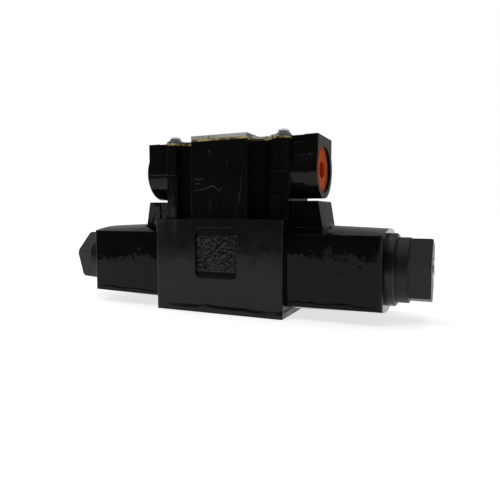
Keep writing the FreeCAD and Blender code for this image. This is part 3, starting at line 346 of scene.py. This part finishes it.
# runs on the front of the box: their corners (x, z) and half width
RUNS = (
    (((-13.6, 57.4), (-11.0, 58.0), (-7.5, 58.4), (-3.4, 59.7),
      (-1.2, 58.6), (0.5, 57.4), (2.1, 59.6)), 0.32),
    (((-13.2, 62.6), (-11.6, 63.4), (-10.2, 62.5), (-8.8, 63.5), (-7.4, 62.8)), 0.26),
    (((-12.4, 60.6), (-10.6, 61.0), (-9.2, 60.4)), 0.22),
    (((11.9, 65.0), (11.6, 60.0), (11.0, 55.0), (10.4, 51.5)), 0.24),
    (((-5.2, 76.2), (-4.2, 75.4), (-4.3, 74.0)), 0.22),
    (((4.0, 72.4), (4.6, 71.2), (4.2, 70.0)), 0.24),
)
# fields of specks on the box: how many, two corners (x, z), smallest and largest radius
SPECKS = (
    (50, (-13.5, 46), (13.5, 78), 0.06, 0.17),
    (60, (34.5, 69.5), (43, 74), 0.08, 0.20),
)
# drips on the coils: side, x, z, half width, half height
DRIPS = (
    ("b", 40.6, 29.6, 0.8, 1.6), ("b", 42.3, 28.2, 1.1, 0.7), ("b", 44.5, 30.8, 1.0, 0.5),
    ("b", 43.4, 26.8, 0.6, 0.5), ("b", 65.8, 23.8, 0.7, 1.9), ("b", 57.0, 21.4, 1.6, 0.5),
    ("a", -57.5, 24.5, 1.4, 0.6), ("a", -49.0, 22.8, 1.8, 0.5), ("a", -46.4, 29.4, 0.7, 1.3),
)
# beads along the coils' lower edges: side, first and last x, half height
BEADS = (
    ("b", 33.8, 66.0, 1.1), ("b", 60.0, 73.0, 0.6), ("a", -73.5, -50.0, 1.0), ("a", -54.0, -36.0, 0.7),
)

body_low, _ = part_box("valve_body")


def piece(name, mesh, material):
    """A finished bmesh as an object that rides on the housing."""
    data = bpy.data.meshes.new(name)
    mesh.to_mesh(data)
    mesh.free()
    data.shade_smooth()
    made = bpy.data.objects.new(name, data)
    bpy.context.scene.collection.objects.link(made)
    made.data.materials.append(material)
    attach(made, "housing")


def step(value, low, high):
    """0 below low, 1 above high, and smooth between them."""
    share = min(1.0, max(0.0, (value - low) / (high - low)))
    return share * share * (3 - 2 * share)


def cast_height(x, z):
    """How far the rough casting stands out of the panel's floor, in mm."""
    inside = step(PANEL_HALF - abs(x), 0.2, 1.0)
    field = step(z, PANEL_LOW + 3.0, PANEL_LOW + 4.2) * step(PANEL_HIGH - z, 3.2, 4.6)
    point = Vector((x, 0, z * 1.1))
    sway, lift = noise.noise(point * 0.4), noise.noise(point * 0.4 + Vector((9, 4, 2)))
    bent = point + Vector((sway, 0, lift)) * 1.2
    lumps = noise.noise(bent * 0.62 + Vector((3, 1, 5)))
    folds = 1 - abs(noise.noise(bent * 0.55 + Vector((7, 0, 0)))) * 3.4
    grain = noise.turbulence(point * 1.5, 3, False)
    rough = max(0.0, 0.4 + 1.1 * lumps + 0.25 * max(0.0, folds)) + 0.25 * grain
    foot = 0.75 * step(PANEL_LOW + 3.6 - z, 0, 3.6)
    return inside * (field * min(1.15, rough) + foot) + 0.05 * grain


def rough_panel():
    """The rough cast surface on the floor of the sunk panel."""
    columns = int(PANEL_HALF * 2 / GRID_PITCH)
    rows = int((PANEL_HIGH - PANEL_LOW) / GRID_PITCH)
    floor = body_low[1] / MM + PANEL_DEPTH + GRID_SINK
    mesh = bmesh.new()
    grid = []
    for row in range(rows):
        z = PANEL_LOW + GRID_PITCH * (row + 0.5)
        line = []
        for column in range(columns):
            x = GRID_PITCH * (column + 0.5) - PANEL_HALF
            y = floor - cast_height(x, z)
            line.append(mesh.verts.new((x * MM, y * MM, z * MM)))
        grid.append(line)
    for below, above in zip(grid, grid[1:]):
        for k in range(columns - 1):
            mesh.faces.new((below[k], below[k + 1], above[k + 1], above[k]))
    rim = [edge for edge in mesh.edges if edge.is_boundary]
    walls = bmesh.ops.extrude_edge_only(mesh, edges=rim)["geom"]
    for part in walls:
        if isinstance(part, bmesh.types.BMVert):
            part.co.y = (floor + GRID_PITCH) * MM
    outline = [part for part in walls if isinstance(part, bmesh.types.BMEdge) and part.is_boundary]
    bmesh.ops.contextual_create(mesh, geom=outline)
    piece("rough_panel", mesh, cast_enamel())


def join_rings(mesh, rings):
    """Skins a row of vertex rings and closes its ends."""
    count = len(rings[0])
    for first, second in zip(rings, rings[1:]):
        for corner in range(count):
            beside = (corner + 1) % count
            mesh.faces.new((first[corner], first[beside], second[beside], second[corner]))
    mesh.faces.new(rings[0])
    mesh.faces.new(list(reversed(rings[-1])))
    bmesh.ops.recalc_face_normals(mesh, faces=mesh.faces)


def front_of(node, x, z):
    """Y of a node's front surface at (x, z) in mm."""
    hit, place, _, _ = nodes[node].ray_cast(Vector((x * MM, body_low[1] * 2, z * MM)), Vector((0, 1, 0)))
    return place.y if hit else 0


def add_run(mesh, node, points, width, thickness):
    """A rounded ridge of paint along points (x, z) in mm on a node's front, thinner towards its ends."""
    rings = []
    last = len(points) - 1
    for k, (x, z) in enumerate(points):
        before, after = points[max(0, k - 1)], points[min(last, k + 1)]
        along = Vector((after[0] - before[0], after[1] - before[1])).normalized()
        size = 0.25 + 0.75 * math.sin(math.pi * (k + 0.5) / (last + 1))
        face = front_of(node, x, z)
        ring = []
        for turn in RING_TURNS:
            out = width * size * math.cos(turn)
            y = face - thickness * size * math.sin(turn) * MM
            ring.append(mesh.verts.new(((x - along.y * out) * MM, y, (z + along.x * out) * MM)))
        rings.append(ring)
    join_rings(mesh, rings)


def rounded_path(corners):
    """A smooth line through corners."""
    path = []
    for k in range(len(corners) - 1):
        a, b = Vector(corners[k]), Vector(corners[k + 1])
        before = Vector(corners[max(0, k - 1)])
        after = Vector(corners[min(len(corners) - 1, k + 2)])
        for n in range(PATH_STEPS):
            t = n / PATH_STEPS
            point = 0.5 * (2 * a + (b - before) * t + (2 * before - 5 * a + 4 * b - after) * t ** 2
                           + (3 * a - before - 3 * b + after) * t ** 3)
            path.append(tuple(point))
    path.append(tuple(corners[-1]))
    return path


def add_drop(mesh, node, x, z, width, height, thickness):
    """A flattened drop of paint on a node's front."""
    middle = Vector((x * MM, front_of(node, x, z), z * MM))
    size = Vector((width * MM, thickness * MM, height * MM))
    place = Matrix.LocRotScale(middle, None, size)
    bmesh.ops.create_icosphere(mesh, subdivisions=2, radius=1, matrix=place)


def add_fillet(mesh, sign):
    """The paint gathered where a connector block's end meets the coil's crown, on the side sign of X."""
    node = nodes["coil_housing_b" if sign > 0 else "coil_housing_a"]
    rings = []
    for k in range(FILLET_STEPS + 1):
        y = BLOCK_HALF * (2 * k / FILLET_STEPS - 1)
        _, place, _, _ = node.ray_cast(Vector((sign * BLOCK_FOOT * MM, y * MM, 1)), Vector((0, 0, -1)))
        size = FILLET_RADIUS * MM * (0.6 + 0.4 * math.cos(y / BLOCK_HALF * math.pi / 2))
        rings.append([mesh.verts.new(place + Vector((math.cos(turn), 0, math.sin(turn))) * size)
                      for turn in RING_TURNS])
    join_rings(mesh, rings)


def paint_marks():
    """Runs and specks of paint on the front of the box, and paint at the foot of each connector block."""
    mesh = bmesh.new()
    for corners, width in RUNS:
        add_run(mesh, "terminal_box", rounded_path(corners), width, RUN_THICKNESS)
    chance = random.Random(7)
    for count, low, high, smallest, largest in SPECKS:
        for _ in range(count):
            size = chance.uniform(smallest, largest)
            x, z = chance.uniform(low[0], high[0]), chance.uniform(low[1], high[1])
            add_drop(mesh, "terminal_box", x, z, size, size, size)
    for sign in (-1, 1):
        add_fillet(mesh, sign)
    wet = enamel("wet_enamel", (0.006, 0.010), 0.12, 0.42, waves=0.01 * MM)
    piece("paint_marks", mesh, wet)


def paint_drips():
    """Drips on the front of the coils, and the bead of paint along their lower edges."""
    mesh = bmesh.new()
    for side, x, z, width, height in DRIPS:
        add_drop(mesh, f"coil_housing_{side}", x, z, width, height, DRIP_THICKNESS)
    for side, start, end, width in BEADS:
        line = []
        for k in range(BEAD_STEPS + 1):
            x = start + (end - start) * k / BEAD_STEPS
            edge = COIL_EDGE + COIL_EDGE_CLIMB * abs(x)
            line.append((x, edge + BEAD_RISE + BEAD_SWAY * math.sin(x * 0.35)))
        add_run(mesh, f"coil_housing_{side}", line, width, BEAD_THICKNESS)
    piece("paint_drips", mesh, finish["coil_black"])


def live_spring(side):
    """A centring spring between the spool and its pole piece, as a mesh of its own in place of the part.
    """
    node = f"centring_spring_{side}"
    made = bpy.data.objects.new(f"live_spring_{side}", nodes[node].data.copy())
    bpy.context.scene.collection.objects.link(made)
    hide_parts(node)
    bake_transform(made)


rough_panel()
paint_marks()
paint_drips()
live_spring("a")
live_spring("b")

# ---------------------------------------------------------------- floor, light and camera

# the sheet's front edge lies nearer the valve on the left
FLOOR_FRONT = ((-5, -0.05), (-0.24, -0.20), (-0.16, -0.31), (5, -0.31))
FLOOR_BACK = 8
CAMERA_LENS, SENSOR = 33.42, 36
CAMERA_PLACE = (0.1025, -0.2131, 0.04676)
CAMERA_TILT, CAMERA_TURN = 85.51, 24.16


def pale_floor():
    """A pale sheet that ends a little in front of the valve, as a table does."""
    mesh = bmesh.new()
    corners = FLOOR_FRONT + ((FLOOR_FRONT[-1][0], FLOOR_BACK), (FLOOR_FRONT[0][0], FLOOR_BACK))
    mesh.faces.new([mesh.verts.new((x, y, 0)) for x, y in corners])
    data = bpy.data.meshes.new("floor")
    mesh.to_mesh(data)
    floor = bpy.data.objects.new("floor", data)
    bpy.context.scene.collection.objects.link(floor)
    shader = Shader("pale_floor")
    glow = shader.between(shader.parts(shader.place)["Y"], 0.1, 0.9, 0.72, 0.95)
    shader.set(Base_Color=shader.mix(shader.noise(8, 2), grey(0.78), grey(0.80)), Roughness=0.8,
               Emission_Color=grey(1), Emission_Strength=glow)
    floor.data.materials.append(shader.material)


def area_light(name, place, aim, size, power):
    lamp = bpy.data.lights.new(name, "AREA")
    lamp.shape = "RECTANGLE"
    lamp.size, lamp.size_y = size
    lamp.energy = power
    light = bpy.data.objects.new(name, lamp)
    light.location = place
    light.rotation_euler = (Vector(aim) - Vector(place)).to_track_quat("-Z", "Y").to_euler()
    bpy.context.scene.collection.objects.link(light)


def world_light():
    """White where the camera looks past the floor; as light, a dim room, paler at the back and left."""
    world = bpy.data.worlds.new("studio")
    sky = Tree(world)
    way = sky.parts(sky.add("TexCoord").outputs["Generated"])
    room, seen = sky.add("Background"), sky.add("Background")
    back = sky.between(way["Y"], -0.15, 0.25, 0.055, 0.29)
    left = sky.between(way["X"], -0.3, -0.75, 0.0, 0.07)
    sky.join(sky.math("ADD", back, left), room.inputs["Strength"])
    room.inputs["Color"].default_value = (1, 0.99, 0.97, 1)
    seen.inputs["Color"].default_value = (1, 1, 1, 1)
    mix, output = sky.add("MixShader"), sky.add("OutputWorld")
    sky.join(sky.add("LightPath").outputs["Is Camera Ray"], mix.inputs[0])
    sky.join(room.outputs[0], mix.inputs[1])
    sky.join(seen.outputs[0], mix.inputs[2])
    sky.join(mix.outputs[0], output.inputs[0])
    bpy.context.scene.world = world


def camera():
    data = bpy.data.cameras.new("camera")
    data.lens, data.sensor_width = CAMERA_LENS, SENSOR
    data.clip_start = 0.01
    view = bpy.data.objects.new("camera", data)
    view.location = CAMERA_PLACE
    view.rotation_euler = (math.radians(CAMERA_TILT), 0, math.radians(CAMERA_TURN))
    bpy.context.scene.collection.objects.link(view)
    bpy.context.scene.camera = view


pale_floor()
world_light()
area_light("overhead", (0.0, 0.1, 1.1), (0, 0, 0), (1.6, 1.4), 5)
area_light("left_window", (-0.9, 0.25, 0.45), (0, 0, 0.04), (0.6, 0.6), 2.2)
area_light("left_card", (-0.63, -0.80, 0.05), (-0.04, -0.012, 0.048), (0.12, 0.05), 0.038)
area_light("glint", (-0.23, -0.35, 0.86), (0, 0, 0.05), (0.12, 0.12), 0.8)
camera()
bpy.context.scene.view_settings.view_transform = "Standard"
